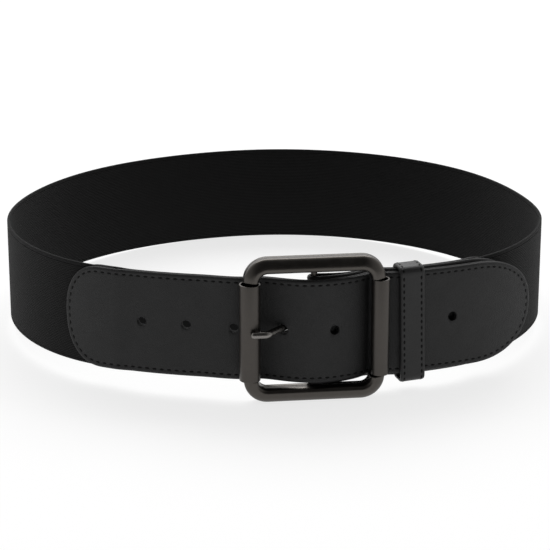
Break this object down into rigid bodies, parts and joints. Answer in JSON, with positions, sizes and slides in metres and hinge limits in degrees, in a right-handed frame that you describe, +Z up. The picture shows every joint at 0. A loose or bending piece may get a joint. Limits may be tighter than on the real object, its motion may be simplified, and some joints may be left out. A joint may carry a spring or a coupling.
{
  "type": "elastic waist belt",
  "caption": "Wide elastic waist belt, fastened in a loop, with leather ends, a centre-bar roller buckle with a prong, punched holes and a keeper.",
  "frame": {"origin": "the middle of the bounding box on the floor that the belt stands on", "axes": "+X to the right along the belt's front as the viewer sees it, +Y from the buckle to the back of the loop, +Z up"},
  "size_m": [0.2688, 0.241, 0.0701],
  "materials": {
    "elastic": "black woven elastic with fine lengthwise ribs",
    "leather": "black smooth leather, satin, with black stitching near its edges",
    "gunmetal": "satin dark gunmetal plating"
  },
  "bodies": {
    "belt": {"elastic_band": "elastic", "tail_strap_front": "leather", "tail_strap_back": "leather", "buckle_strap": "leather", "buckle_frame": "gunmetal", "prong": "gunmetal", "keeper": "leather"},
    "left_tube": {"roller_left": "gunmetal"},
    "right_tube": {"roller_right": "gunmetal"}
  },
  "joints": [
    {"name": "left_roller_spin", "type": "hinge", "parent": "belt", "child": "left_tube", "pos_m": [-0.01141, -0.11225, 0.03515], "axis": [-0.0051, 0.0419, 0.9991], "continuous": true},
    {"name": "right_roller_spin", "type": "hinge", "parent": "belt", "child": "right_tube", "pos_m": [0.04903, -0.10389, 0.03511], "axis": [-0.0051, 0.0419, 0.9991], "continuous": true}
  ]
}
